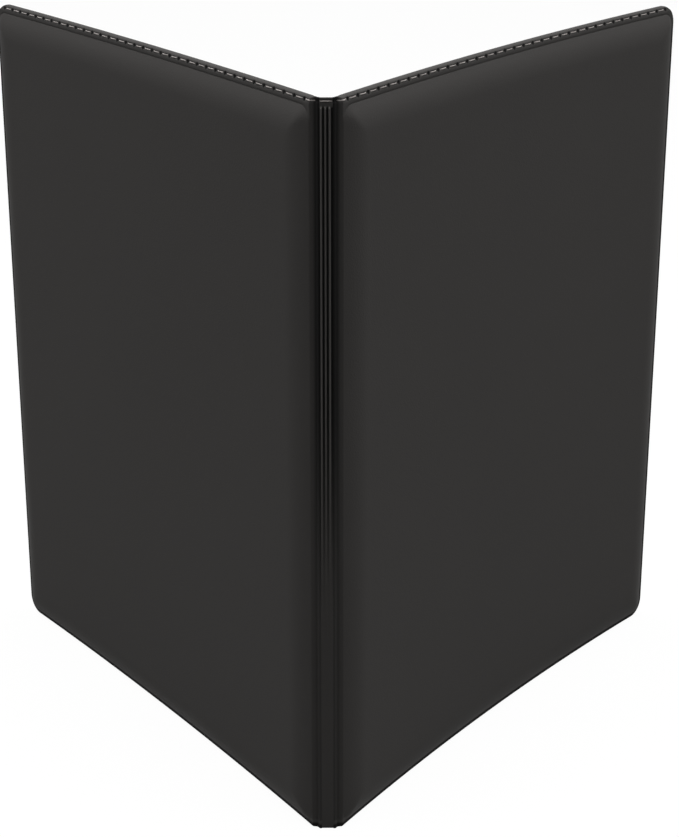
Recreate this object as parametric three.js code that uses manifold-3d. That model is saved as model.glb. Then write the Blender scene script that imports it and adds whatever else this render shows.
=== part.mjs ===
// A slim document organizer for letter paper, standing open like a book on its bottom edges.
// Two padded covers are joined by a narrow spine with three moulded ribs. Each cover is a board under a foam pad,
// wrapped in a soft vinyl skin whose hem turns over the board, with a lining and sewn pockets on the inside.
// Millimetres, +Z up along the spine, the spine facing -Y, the origin at the foot of the spine.

import * as THREE from "three";
import { mergeVertices } from "three/addons/utils/BufferGeometryUtils.js";
import Module from "manifold-3d";

const wasm = await Module();
wasm.setup();

// Covers, measured from the hinge line and from the foot
const coverWidth = 260;
const coverHeight = 312;
const cornerRadius = 8.5;
const frontOpening = 36.8; // from the fold's middle plane to the chord of each cover, in degrees
const backOpening = 35.2;
const frontBow = 9; // how far each cover turns outwards over its width, in degrees
const backBow = 4.7;

// Sheets and boards
const skinThickness = 0.8;
const hemThickness = 0.5; // the skin is pared thin where it turns over the board
const boardThickness = 1.8;
const foamThickness = 3.2;
const liningThickness = 0.5;
const pocketThickness = 0.5;
const clearance = 0.15; // glue line between two layers
const foamClearance = 0.3; // foam to the skin that rounds it over

// Edges, and the seam along the top
const edgeRoll = 0.9; // radius of the folded edge
const seamInset = 2.1; // stitch line to the edge
const seamWidth = 0.8;
const seamDepth = 0.3;
const topMargin = 4.2; // edge to the foot of the padding
const sideMargin = 2;
const padCorner = 6;
const padShoulder = 13; // width over which the padding rounds up to its full height
const foamInset = 0.8;
const hemWidth = 6.5;
const liningInset = 1;
const liningRamp = 2;

// Spine and hinges
const ribCount = 3;
const ribPitch = 1.6;
const ribWidth = 0.9;
const ribHeight = 0.55;
const ribEndInset = 4.2;
const ribEndRamp = 1;
const ribFullLength = 70; // from the top, then the ribs die out towards the foot
const ribFadeLength = 135;
const spineMargin = 0.4; // outer rib to the edge of the spine strip
const hingeRelief = 0.395; // hinge line to the rounded end of each sheet
const grooveWidth = 1.1;
const boardStart = 2.3; // hinge line to the board

// Pockets
const documentPocketStart = 14;
const frontMouthAtSpine = 165;
const frontMouthAtEdge = 212;
const backMouth = 190;
const documentPocketGap = 1;
const sewnRun = 10; // width over which a pocket lifts from its sewn edge
const mouthHem = 8;
const mouthHemExtra = 0.3;
const thumbNotchRadius = 15;
const cardPocketWidth = 98;
const cardPocketStart = 78;
const cardPocketFoot = 38;
const cardPocketHeight = 56;
const cardPocketStep = 14;
const cardPocketGap = 0.3;

// Levels through a cover: n is 0 at the board's inner face and grows outwards
const webOuter = skinThickness;
const webInner = -clearance - liningThickness;
const hingeLevel = (webOuter + webInner) / 2;
const tongueRadius = (webOuter - webInner) / 2;
const tongueCentre = hingeRelief + tongueRadius;
const tongueStart = tongueCentre - 0.9 * tongueRadius;
const boardTop = boardThickness + clearance;
const hemLevel = -clearance - hemThickness;
const hemStart = boardStart + 1.9;

const ribZone = (ribCount - 1) * ribPitch + ribWidth;
const spineHalf = ribZone / 2 + spineMargin;
const hingeX = spineHalf + tongueStart;
const spineLevel = skinThickness / 2; // the origin lies in the middle of the spine's skin
const hingeY = spineLevel - hingeLevel;

const clamp01 = (t) => Math.min(Math.max(t, 0), 1);

// Rounded rise from 0 to 1, steep at first and level at the end.
const rise = (t) => 1 - (1 - clamp01(t)) ** 2.2;

// How deep a point lies inside a rectangle with rounded corners.
function depthInside(u, v, { u0, u1, v0, v1, r }) {
  const qu = Math.max(u0 - u, u - u1) + r;
  const qv = Math.max(v0 - v, v - v1) + r;
  return r - Math.hypot(Math.max(qu, 0), Math.max(qv, 0)) - Math.min(Math.max(qu, qv), 0);
}

// Grid lines from start to end: offsets from both ends, and even steps between them.
function lines(start, end, near, far, step) {
  const low = near.map((d) => start + d);
  const high = far.map((d) => end - d).reverse();
  const gap = high[0] - low.at(-1);
  const count = Math.max(1, Math.round(gap / step));
  const middle = Array.from({ length: count - 1 }, (_, i) => low.at(-1) + (gap * (i + 1)) / count);
  return [...low, ...middle, ...high];
}

// Slides the grid points of a corner square onto a quarter circle, so that the sheet's corner is round.
function roundOff(u, v, us, vs, radii) {
  const far = u > (us[0] + us.at(-1)) / 2;
  const high = v > (vs[0] + vs.at(-1)) / 2;
  const r = radii[(far ? 1 : 0) + (high ? 2 : 0)];
  const a = r - (far ? us.at(-1) - u : u - us[0]);
  const b = r - (high ? vs.at(-1) - v : v - vs[0]);
  if (a <= 0 || b <= 0) return [u, v];
  const pull = 1 - Math.max(a, b) / Math.hypot(a, b);
  return [u - (far ? 1 : -1) * a * pull, v - (high ? 1 : -1) * b * pull];
}

// A closed sheet over a grid, between the surfaces under(u, v) and over(u, v). radii round its four corners,
// mouth(u) slants its upper edge, and fold carries each point (u, v, n) to its place.
function sheet({ us, vs, under, over, radii = [0, 0, 0, 0], mouth, fold }) {
  const columns = us.length;
  const rows = vs.length;
  const positions = [];
  for (const surface of [under, over]) {
    for (const flatV of vs) {
      for (const flatU of us) {
        const [u, level] = roundOff(flatU, flatV, us, vs, radii);
        const stretch = mouth ? (mouth(u) - vs[0]) / (vs.at(-1) - vs[0]) : 1;
        const v = vs[0] + (level - vs[0]) * stretch;
        positions.push(...fold(u, v, surface(u, v)));
      }
    }
  }
  const at = (top, i, j) => top * rows * columns + j * columns + i;
  const faces = [];
  const quad = (a, b, c, d) => faces.push(a, b, c, a, c, d);
  const otherQuad = (a, b, c, d) => quad(b, c, d, a);
  for (let j = 0; j < rows - 1; j++) {
    for (let i = 0; i < columns - 1; i++) {
      // The quads are split along the diagonals that run in from the sheet's four corners.
      const split = 2 * i < columns === 2 * j < rows ? quad : otherQuad;
      split(at(1, i, j), at(1, i + 1, j), at(1, i + 1, j + 1), at(1, i, j + 1));
      split(at(0, i, j), at(0, i, j + 1), at(0, i + 1, j + 1), at(0, i + 1, j));
    }
  }
  for (let i = 0; i < columns - 1; i++) {
    quad(at(0, i, 0), at(0, i + 1, 0), at(1, i + 1, 0), at(1, i, 0));
    quad(at(0, i + 1, rows - 1), at(0, i, rows - 1), at(1, i, rows - 1), at(1, i + 1, rows - 1));
  }
  for (let j = 0; j < rows - 1; j++) {
    quad(at(0, 0, j + 1), at(0, 0, j), at(1, 0, j), at(1, 0, j + 1));
    quad(at(0, columns - 1, j), at(0, columns - 1, j + 1), at(1, columns - 1, j + 1), at(1, columns - 1, j));
  }
  if (fold.mirrored) faces.reverse();
  const geometry = new THREE.BufferGeometry();
  geometry.setAttribute("position", new THREE.Float32BufferAttribute(positions, 3));
  geometry.setIndex(faces);
  return geometry;
}

function solid(geometry) {
  const plain = geometry.clone();
  plain.deleteAttribute("normal");
  plain.deleteAttribute("uv");
  const merged = mergeVertices(plain, 1e-4);
  return new wasm.Manifold(
    new wasm.Mesh({
      numProp: 3,
      vertProperties: new Float32Array(merged.attributes.position.array),
      triVerts: new Uint32Array(merged.index.array),
    }),
  );
}

// The first geometry with the others cut out of it.
function cut(geometry, ...tools) {
  const left = tools.reduce((body, tool) => body.subtract(solid(tool)), solid(geometry));
  const mesh = left.getMesh();
  const made = new THREE.BufferGeometry();
  made.setAttribute("position", new THREE.BufferAttribute(mesh.vertProperties, 3));
  made.setIndex(new THREE.BufferAttribute(mesh.triVerts, 1));
  return made;
}

// A cover's frame has the hinge line as its Z axis, u along +Y and n along +X, or -X on the back cover.
// The cover's plan is an arc that turns outwards by bow degrees over its width.
function bowedFold(side, bow) {
  const curve = THREE.MathUtils.degToRad(bow) / coverWidth;
  const fold = (u, v, n) => {
    const turn = curve * u;
    const outward = n - hingeLevel;
    const across = (1 - Math.cos(turn)) / curve + outward * Math.cos(turn);
    return [side * across, Math.sin(turn) / curve - outward * Math.sin(turn), v];
  };
  fold.mirrored = side < 0;
  return fold;
}

const flatFold = (u, v, n) => [u, spineLevel - n, v];

// Outlines in a cover's own plane. Those that run on past the hinge have their near side far away.
const beyond = -1000;
const outline = { u0: beyond, u1: coverWidth, v0: 0, v1: coverHeight, r: cornerRadius };
const padOutline = {
  u0: boardStart - 0.3,
  u1: coverWidth - sideMargin,
  v0: sideMargin,
  v1: coverHeight - topMargin,
  r: padCorner,
};

// Half-round end of the sheets at a hinge line, at a distance u from that line.
const tongueHalf = (u) => Math.sqrt(Math.max(tongueRadius ** 2 - Math.max(tongueCentre - u, 0) ** 2, 0));
const edgeDrop = (d, r) => (d < r ? r - Math.sqrt(Math.max(r * r - (r - d) ** 2, 0)) : 0);
const seamDip = (v) => seamDepth * Math.max(0, 1 - Math.abs(coverHeight - v - seamInset) / seamWidth);

// The skin's inner and outer surfaces: over the web, up the groove's flank, and over the foam pad.
function skinInner(u, v) {
  const flank = clamp01((u - tongueCentre) / grooveWidth);
  const pad = (foamThickness + foamClearance) * rise(depthInside(u, v, padOutline) / padShoulder);
  return boardTop * flank + pad;
}

function skinOuter(u, v) {
  const d = depthInside(u, v, outline);
  const full = skinInner(u, v) + skinThickness - edgeDrop(d, edgeRoll) - seamDip(v);
  return Math.min(full, u < tongueCentre ? hingeLevel + tongueHalf(u) : full);
}

function skinUnder(u, v) {
  if (u < hemStart) return Math.max(0, hingeLevel - tongueHalf(u));
  return hemLevel + edgeDrop(depthInside(u, v, outline), hemThickness);
}

const hingeLines = [tongueStart, tongueCentre - 0.5 * tongueRadius, tongueCentre];
const grooveLine = tongueCentre + grooveWidth;
const stepU = 25;
const stepV = 100;

// Vinyl skin of a cover: padded outer face, rolled edge with its seam channel, and the hem turned over the board.
function coverSkin(fold) {
  const side = [sideMargin, 4, 6.8, cornerRadius, 11, sideMargin + padShoulder];
  const top = [topMargin, 6.8, cornerRadius, 13, topMargin + padShoulder];
  const roll = [0, 0.3, edgeRoll];
  const seam = [seamInset - seamWidth, seamInset, seamInset + seamWidth];
  const near = [...hingeLines, grooveLine, hemStart - 0.4, hemStart, 7, 11, padOutline.u0 + padShoulder];
  const block = sheet({
    us: lines(0, coverWidth, near, [...roll, ...side], stepU),
    vs: lines(0, coverHeight, [...roll, ...side], [...roll, ...seam, ...top], stepV),
    under: skinUnder,
    over: skinOuter,
    radii: [0, cornerRadius, 0, cornerRadius],
    fold,
  });
  const hollow = sheet({
    us: lines(0, coverWidth, near.slice(hingeLines.length), [skinThickness, ...side], stepU),
    vs: lines(0, coverHeight, [skinThickness, ...side], [skinThickness, ...top], stepV),
    under: () => -clearance,
    over: skinInner,
    radii: [0, cornerRadius - skinThickness, 0, cornerRadius - skinThickness],
    fold,
  });
  const window = sheet({
    us: lines(0, coverWidth, [grooveLine, hemStart], [hemWidth, cornerRadius], stepU),
    vs: lines(0, coverHeight, [hemWidth, cornerRadius], [hemWidth, cornerRadius], stepV),
    under: () => 4 * hemLevel,
    over: () => clearance,
    radii: [0, cornerRadius - hemWidth, 0, cornerRadius - hemWidth],
    fold,
  });
  return cut(block, hollow, window);
}

// Foam pad, cut a little smaller than the skin's hollow and rounded over by it.
function foamPad(fold) {
  const edge = [0, 1, 2.7, padCorner - foamInset, 8, padShoulder - foamInset];
  const { u0, u1, v0, v1, r } = padOutline;
  const corner = r - foamInset;
  return sheet({
    us: lines(u0 + foamInset, u1 - foamInset, edge, edge, stepU),
    vs: lines(v0 + foamInset, v1 - foamInset, edge, edge, stepV),
    under: () => boardTop,
    over: (u, v) => {
      const d = depthInside(u, v, padOutline) - foamInset;
      return boardTop + foamThickness * rise(d / padShoulder);
    },
    radii: [corner, corner, corner, corner],
    fold,
  });
}

// Stiff board, wrapped by the skin on three sides.
function coverBoard(fold) {
  const inset = skinThickness + clearance;
  const corner = cornerRadius - inset;
  const edge = [inset, inset + 1.5, inset + 3.5, inset + 5.5, cornerRadius];
  return sheet({
    us: lines(0, coverWidth, [boardStart], edge, stepU),
    vs: lines(0, coverHeight, edge, edge, stepV),
    under: () => 0,
    over: () => boardThickness,
    radii: [0, corner, 0, corner],
    fold,
  });
}

// The lining lies on the board, and steps over the skin's hem near the edges.
function liningOver(u, v) {
  const onHem = clamp01((hemWidth + liningRamp - depthInside(u, v, outline)) / liningRamp);
  const pastHinge = clamp01((u - boardStart) / (hemStart - 0.4 - boardStart));
  return -clearance - (hemThickness + clearance) * onHem * pastHinge;
}

function liningUnder(u, v) {
  const under = liningOver(u, v) - liningThickness;
  return u < tongueCentre ? Math.max(under, hingeLevel - tongueHalf(u)) : under;
}

const liningEdge = [liningInset, 2.5, 4.5, hemWidth, hemWidth + liningRamp, 10];

function coverLining(fold) {
  const corner = cornerRadius - liningInset;
  return sheet({
    us: lines(0, coverWidth, [...hingeLines, boardStart, hemStart - 0.4], liningEdge, stepU),
    vs: lines(0, coverHeight, liningEdge, liningEdge, stepV),
    under: liningUnder,
    over: liningOver,
    radii: [0, corner, 0, corner],
    fold,
  });
}

// A pocket's two surfaces: flat on base where it is sewn, at its two sides and foot, and lifted by gap between them.
function pocketSurfaces({ u0, u1, v0, mouth, gap, base, run }) {
  const over = (u, v) => base(u, v) - clearance - gap * rise(Math.min(u - u0, u1 - u, v - v0) / run);
  const under = (u, v) => {
    const folded = clamp01((v - mouth(u) + mouthHem) / 1);
    return over(u, v) - pocketThickness - mouthHemExtra * folded;
  };
  return { over, under };
}

const documentPocket = {
  u0: documentPocketStart,
  u1: coverWidth - liningInset,
  v0: liningInset,
  gap: documentPocketGap,
  base: liningUnder,
  run: sewnRun,
};

const frontMouth = (u) =>
  THREE.MathUtils.mapLinear(
    u,
    documentPocketStart,
    coverWidth - liningInset,
    frontMouthAtSpine,
    frontMouthAtEdge,
  );

const frontPocket = pocketSurfaces({ ...documentPocket, mouth: frontMouth });
const backPocket = pocketSurfaces({ ...documentPocket, mouth: () => backMouth });

// Large pocket for documents, sewn into the edge seam at its foot and outer side. Its mouth has a folded hem.
function documentPocketSheet(fold, surfaces, mouth) {
  const { u0, u1, v0 } = documentPocket;
  const top = mouth(u1);
  const edge = liningEdge.map((d) => d - liningInset);
  return sheet({
    us: lines(u0, u1, [0, 4, sewnRun], [...edge, sewnRun + 3], stepU),
    vs: lines(v0, top, [...edge, sewnRun + 3], [0, mouthHem - 1, mouthHem], stepV),
    ...surfaces,
    radii: [0, cornerRadius - liningInset, 0, 0],
    mouth,
    fold,
  });
}

// Half-round cut in the middle of a pocket's mouth, so that a thumb can reach the papers.
function thumbNotch(side) {
  const notch = new THREE.CylinderGeometry(thumbNotchRadius, thumbNotchRadius, 30, 40);
  notch.rotateZ(Math.PI / 2);
  return notch.translate(side * hingeLevel, (documentPocketStart + coverWidth) / 2, backMouth);
}

// Small card pockets sewn on the front document pocket. The taller one lies behind the shorter one.
function cardPocket(index, base) {
  const u0 = cardPocketStart;
  const u1 = cardPocketStart + cardPocketWidth;
  const v0 = cardPocketFoot;
  const top = cardPocketFoot + cardPocketHeight + cardPocketStep * index;
  const surfaces = pocketSurfaces({ u0, u1, v0, mouth: () => top, gap: cardPocketGap, base, run: 4 });
  return { u0, u1, v0, top, ...surfaces };
}

function cardPocketSheet(fold, { u0, u1, v0, top, under, over }) {
  return sheet({
    us: lines(u0, u1, [0, 2, 4], [0, 2, 4], stepU),
    vs: lines(v0, top, [0, 2, 4], [0, mouthHem - 1, mouthHem], stepV),
    under,
    over,
    fold,
  });
}

const tallCardPocket = cardPocket(1, frontPocket.under);
const shortCardPocket = cardPocket(0, tallCardPocket.under);

// Ribs along the spine, pressed flat at the top where the seam crosses them. They die out towards the foot.
function ribLift(x, v) {
  const nearest = THREE.MathUtils.clamp(Math.round(x / ribPitch + (ribCount - 1) / 2), 0, ribCount - 1);
  const away = Math.abs(x - (nearest - (ribCount - 1) / 2) * ribPitch) / (ribWidth / 2);
  const fromTop = coverHeight - v;
  const fade = Math.min(
    clamp01((fromTop - ribEndInset) / ribEndRamp),
    clamp01((ribFullLength + ribFadeLength - fromTop) / ribFadeLength),
  );
  return ribHeight * Math.sqrt(Math.max(1 - away ** 2, 0)) * fade;
}

// Distance from a point of the spine strip to the nearer hinge line.
const fromHinge = (x) => hingeX - Math.abs(x);

function spineSheet(under, over, xs) {
  const top = [0, ribEndInset, ribEndInset + ribEndRamp, ribFullLength, ribFullLength + ribFadeLength];
  return sheet({ us: xs, vs: lines(0, coverHeight, [0], top, coverHeight), under, over, fold: flatFold });
}

function stripEdges() {
  const half = hingeLines.map((u) => hingeX - u);
  return { left: half.map((x) => -x), right: half.toReversed() };
}

function spineSkin() {
  const share = [-1, -0.9, -0.5, 0, 0.5, 0.9, 1];
  const ribs = Array.from({ length: ribCount }, (_, i) => (i - (ribCount - 1) / 2) * ribPitch);
  const ribLines = ribs.flatMap((x) => share.map((s) => x + (s * ribWidth) / 2));
  const { left, right } = stripEdges();
  const xs = [...new Set([...left, ...ribLines, ...right].map((x) => +x.toFixed(4)))].sort((a, b) => a - b);
  const over = (x, v) => {
    const end = fromHinge(x) < tongueCentre ? hingeLevel + tongueHalf(fromHinge(x)) : skinThickness;
    return Math.min(skinThickness, end) + ribLift(x, v);
  };
  return spineSheet((x) => Math.max(0, hingeLevel - tongueHalf(fromHinge(x))), over, xs);
}

function spineLining() {
  const { left, right } = stripEdges();
  const under = (x) => Math.max(webInner, hingeLevel - tongueHalf(fromHinge(x)));
  return spineSheet(under, () => -clearance, [...left, 0, ...right]);
}

// Materials
const softVinyl = { color: 0x32302f, roughness: 0.62, metalness: 0 };
const liningVinyl = { color: 0x262524, roughness: 0.8, metalness: 0 };
const pocketVinyl = { color: 0x2b2a29, roughness: 0.66, metalness: 0 };
const greyBoard = { color: 0x8d877c, roughness: 0.95, metalness: 0 };
const whiteFoam = { color: 0xe4e1d6, roughness: 1, metalness: 0 };

function piece(name, geometry, finish) {
  geometry.computeVertexNormals();
  const mesh = new THREE.Mesh(geometry, new THREE.MeshStandardMaterial(finish));
  mesh.name = name;
  return mesh;
}

// A cover hangs on its hinge line. bow turns its far part outwards, so its near end stands at a smaller angle.
function cover(side, opening, bow) {
  const hinge = new THREE.Group();
  hinge.position.set(side * hingeX, hingeY, 0);
  hinge.rotation.z = -side * THREE.MathUtils.degToRad(opening - bow / 2);
  return hinge;
}

function frontCover() {
  const fold = bowedFold(1, frontBow);
  const hinge = cover(1, frontOpening, frontBow);
  hinge.add(piece("front_skin", coverSkin(fold), softVinyl));
  hinge.add(piece("front_foam", foamPad(fold), whiteFoam));
  hinge.add(piece("front_board", coverBoard(fold), greyBoard));
  hinge.add(piece("front_lining", coverLining(fold), liningVinyl));
  hinge.add(piece("front_document_pocket", documentPocketSheet(fold, frontPocket, frontMouth), pocketVinyl));
  hinge.add(piece("tall_card_pocket", cardPocketSheet(fold, tallCardPocket), pocketVinyl));
  hinge.add(piece("short_card_pocket", cardPocketSheet(fold, shortCardPocket), pocketVinyl));
  return hinge;
}

function backCover() {
  const fold = bowedFold(-1, backBow);
  const hinge = cover(-1, backOpening, backBow);
  const pocket = cut(documentPocketSheet(fold, backPocket, () => backMouth), thumbNotch(-1));
  hinge.add(piece("back_skin", coverSkin(fold), softVinyl));
  hinge.add(piece("back_foam", foamPad(fold), whiteFoam));
  hinge.add(piece("back_board", coverBoard(fold), greyBoard));
  hinge.add(piece("back_lining", coverLining(fold), liningVinyl));
  hinge.add(piece("back_document_pocket", pocket, pocketVinyl));
  return hinge;
}

function spine() {
  const strip = new THREE.Group();
  strip.add(piece("spine_skin", spineSkin(), softVinyl));
  strip.add(piece("spine_lining", spineLining(), liningVinyl));
  return strip;
}

const organizer = new THREE.Group();
organizer.add(spine(), frontCover(), backCover());

export default organizer;
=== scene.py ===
import math

import bpy
from mathutils import Matrix, Vector, noise


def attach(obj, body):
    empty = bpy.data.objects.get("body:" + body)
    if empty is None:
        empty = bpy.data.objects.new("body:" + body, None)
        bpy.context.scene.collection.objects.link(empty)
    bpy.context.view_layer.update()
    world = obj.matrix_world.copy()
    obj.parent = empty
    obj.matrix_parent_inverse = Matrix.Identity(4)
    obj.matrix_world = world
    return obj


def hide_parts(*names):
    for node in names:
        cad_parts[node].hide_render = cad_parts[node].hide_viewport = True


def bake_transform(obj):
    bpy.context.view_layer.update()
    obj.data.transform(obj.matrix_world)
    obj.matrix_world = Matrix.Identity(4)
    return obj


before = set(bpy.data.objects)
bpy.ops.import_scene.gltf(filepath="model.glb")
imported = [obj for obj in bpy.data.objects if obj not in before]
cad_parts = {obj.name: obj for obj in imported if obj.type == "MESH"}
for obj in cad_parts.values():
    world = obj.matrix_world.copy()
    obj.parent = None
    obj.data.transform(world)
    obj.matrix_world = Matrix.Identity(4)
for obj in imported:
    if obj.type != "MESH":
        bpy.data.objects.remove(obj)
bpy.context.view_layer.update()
scene = bpy.context.scene


# The organizer stands open on a white table and is seen from in front of its spine, a little from above.
# The camera is where the photograph was taken from.
looking_down = math.radians(20.78)
camera_data = bpy.data.cameras.new("camera")
camera_data.sensor_width = 36
camera_data.lens = 88.13
camera = bpy.data.objects.new("camera", camera_data)
camera.location = (0.0050, -0.7490, 0.4694)
camera.rotation_euler = (math.pi / 2 - looking_down, 0, 0)
scene.collection.objects.link(camera)
scene.camera = camera
scene.view_settings.view_transform = "Standard"


# Table and room. The table is a large pale sheet that looks white from the camera and keeps the soft shadow
# at the foot of the covers. The room round it is very pale to look at, and lights the organizer only faintly.
def looked_at(nodes, links):
    """1 where the background is seen by the camera, in a reflection or through something clear."""
    seen = nodes.new("ShaderNodeLightPath")
    found = seen.outputs["Is Camera Ray"]
    for kind in ("Is Glossy Ray", "Is Transmission Ray"):
        either = nodes.new("ShaderNodeMath")
        either.operation = "MAXIMUM"
        links.new(found, either.inputs[0])
        links.new(seen.outputs[kind], either.inputs[1])
        found = either.outputs[0]
    return found


bpy.ops.object.select_all(action="DESELECT")
bpy.ops.mesh.primitive_grid_add(size=8, x_subdivisions=8, y_subdivisions=8)
table = bpy.context.active_object
table.name = "table"
pale = bpy.data.materials.new("pale_table")
pale.use_nodes = True
nodes, links = pale.node_tree.nodes, pale.node_tree.links
nodes["Principled BSDF"].inputs["Base Color"].default_value = (0.32, 0.32, 0.315, 1)
nodes["Principled BSDF"].inputs["Roughness"].default_value = 0.9
white = nodes.new("ShaderNodeEmission")
white.inputs["Strength"].default_value = 1.05
share = nodes.new("ShaderNodeMath")
share.operation = "MULTIPLY"
share.inputs[1].default_value = 0.92
mix = nodes.new("ShaderNodeMixShader")
links.new(looked_at(nodes, links), share.inputs[0])
links.new(share.outputs[0], mix.inputs[0])
links.new(nodes["Principled BSDF"].outputs[0], mix.inputs[1])
links.new(white.outputs[0], mix.inputs[2])
links.new(mix.outputs[0], nodes["Material Output"].inputs["Surface"])
table.data.materials.append(pale)

room = bpy.data.worlds.new("room")
scene.world = room
room.use_nodes = True
nodes, links = room.node_tree.nodes, room.node_tree.links
nodes["Background"].inputs["Color"].default_value = (1, 1, 1, 1)
nodes["Background"].inputs["Strength"].default_value = 0.12
seen_walls = nodes.new("ShaderNodeBackground")
seen_walls.inputs["Color"].default_value = (0.8, 0.8, 0.8, 1)
seen_walls.inputs["Strength"].default_value = 1
mix = nodes.new("ShaderNodeMixShader")
links.new(looked_at(nodes, links), mix.inputs[0])
links.new(nodes["Background"].outputs[0], mix.inputs[1])
links.new(seen_walls.outputs[0], mix.inputs[2])
links.new(mix.outputs[0], nodes["World Output"].inputs["Surface"])


# Two soft boxes stand left and right of the covers and a third hangs over them, so that the padded faces are
# evenly lit and the spine between them stays dark.
def soft_box(name, place, aim, size, watts):
    data = bpy.data.lights.new(name, "AREA")
    data.shape = "RECTANGLE"
    data.size, data.size_y = size
    data.energy = watts
    made = bpy.data.objects.new(name, data)
    made.location = place
    made.rotation_euler = (Vector(aim) - Vector(place)).to_track_quat("-Z", "Y").to_euler()
    scene.collection.objects.link(made)


soft_box("left_soft_box", (-1.3, 0.0, 1.05), (0, 0.08, 0.15), (1.0, 1.2), 8.0)
soft_box("right_soft_box", (1.3, 0.0, 1.05), (0, 0.08, 0.15), (1.0, 1.2), 9.4)
soft_box("upper_soft_box", (0, 0.15, 1.7), (0, 0.1, 0.15), (1.4, 1.2), 48)


# Vinyl of the spine and the covers: a matte dark grey sheet with a fine pressed grain. It is painted black
# along the folded edges, partly as dye and partly as painted shade, and in the grooves beside the ribs and at
# the hinge as painted shade. Narrow lines are painted lighter as painted highlights, and the needle holes in
# the seam along the top are painted near black as painted shade.
low_shine = 0.045  # reflections see a pale room, so all finishes shine less than they would in a real one


def finish(name, colour, roughness):
    """A new material with its shader, ready for what varies over the surface."""
    made = bpy.data.materials.new(name)
    made.use_nodes = True
    shader = made.node_tree.nodes["Principled BSDF"]
    shader.inputs["Base Color"].default_value = (*colour, 1)
    shader.inputs["Roughness"].default_value = roughness
    shader.inputs["Specular IOR Level"].default_value = low_shine
    return made, made.node_tree.nodes, made.node_tree.links, shader


def new_group(name, inputs, outputs):
    """A shared node group, with what it is given and what it puts out."""
    made = bpy.data.node_groups.new(name, "ShaderNodeTree")
    for label, kind in inputs:
        made.interface.new_socket(label, in_out="INPUT", socket_type="NodeSocket" + kind)
    for label in outputs:
        made.interface.new_socket(label, in_out="OUTPUT", socket_type="NodeSocketFloat")
    return made, made.nodes, made.links, made.nodes.new("NodeGroupInput"), made.nodes.new("NodeGroupOutput")


def maths(nodes, links, operation, *values):
    """A Math node fed by sockets or numbers, and its output."""
    made = nodes.new("ShaderNodeMath")
    made.operation = operation
    for k, value in enumerate(values):
        if isinstance(value, (int, float)):
            made.inputs[k].default_value = value
        else:
            links.new(value, made.inputs[k])
    return made.outputs[0]


pressed_grain, nodes, links, given, kept = new_group(
    "pressed_grain", [("Vector", "Vector"), ("Scale", "Float")], ["Height", "Tone"])
pebbles = nodes.new("ShaderNodeTexVoronoi")
pebbles.feature = "SMOOTH_F1"
pebbles.inputs["Smoothness"].default_value = 0.6
links.new(given.outputs["Vector"], pebbles.inputs["Vector"])
links.new(given.outputs["Scale"], pebbles.inputs["Scale"])
creases = nodes.new("ShaderNodeTexNoise")
creases.inputs["Detail"].default_value = 3
links.new(given.outputs["Vector"], creases.inputs["Vector"])
links.new(maths(nodes, links, "MULTIPLY", given.outputs["Scale"], 0.6), creases.inputs["Scale"])
height = maths(nodes, links, "ADD", pebbles.outputs["Distance"], creases.outputs["Fac"])
links.new(height, kept.inputs["Height"])
clouds = nodes.new("ShaderNodeTexNoise")
clouds.inputs["Detail"].default_value = 2
links.new(given.outputs["Vector"], clouds.inputs["Vector"])
links.new(maths(nodes, links, "MULTIPLY", given.outputs["Scale"], 0.012), clouds.inputs["Scale"])
links.new(clouds.outputs["Fac"], kept.inputs["Tone"])

# Round holes along a line: how far along it and how far off it a point is, and what the holes measure.
needle_holes, nodes, links, given, kept = new_group(
    "needle_holes",
    [("Along", "Float"), ("Off", "Float"), ("First", "Float"), ("Pitch", "Float"), ("Radius", "Float")],
    ["Mask"])
steps = maths(nodes, links, "DIVIDE", maths(
    nodes, links, "SUBTRACT", given.outputs["Along"], given.outputs["First"]), given.outputs["Pitch"])
to_hole = maths(nodes, links, "MULTIPLY", maths(
    nodes, links, "SUBTRACT", steps, maths(nodes, links, "ROUND", steps)), given.outputs["Pitch"])
reach = maths(nodes, links, "SQRT", maths(
    nodes, links, "ADD",
    maths(nodes, links, "POWER", maths(nodes, links, "ABSOLUTE", to_hole), 2),
    maths(nodes, links, "POWER", maths(nodes, links, "ABSOLUTE", given.outputs["Off"]), 2)))
hole = nodes.new("ShaderNodeMapRange")
hole.interpolation_type = "SMOOTHSTEP"
links.new(reach, hole.inputs["Value"])
links.new(maths(nodes, links, "MULTIPLY", given.outputs["Radius"], 0.7), hole.inputs["From Min"])
links.new(maths(nodes, links, "MULTIPLY", given.outputs["Radius"], 1.3), hole.inputs["From Max"])
hole.inputs["To Min"].default_value = 1
hole.inputs["To Max"].default_value = 0
links.new(hole.outputs["Result"], kept.inputs["Mask"])

cover_width = 260  # lengths of the pieces are in millimetres until they are stood in place
cover_height = 312
seam_inset = 1.4
stitch_first = 6
stitch_pitch = 7.25
needle_hole_radius = 0.82
# Near black for the dyed edges, and for painted shade in the grooves and along the shaded edges.
dye_and_shade_black = (0.003, 0.003, 0.003)
# Near black painted into the needle holes as painted shade.
painted_hole_shade = (0.001, 0.001, 0.001)
highlight_share = 1.7  # how much lighter than the vinyl its painted highlights are


def placed_group(nodes, group, **values):
    """A shared group set into a material, with its own values."""
    made = nodes.new("ShaderNodeGroup")
    made.node_tree = group
    for label, value in values.items():
        made.inputs[label].default_value = value
    return made


def blended(nodes, links, factor, first, second):
    """A colour between two, by a factor that varies over the surface."""
    made = nodes.new("ShaderNodeMix")
    made.data_type = "RGBA"
    links.new(factor, made.inputs["Factor"])
    for value, label in ((first, "A"), (second, "B")):
        socket = next(s for s in made.inputs if s.name == label and s.type == "RGBA")
        if isinstance(value, tuple):
            socket.default_value = (*value, 1)
        else:
            links.new(value, socket)
    return next(s for s in made.outputs if s.type == "RGBA")


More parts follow.
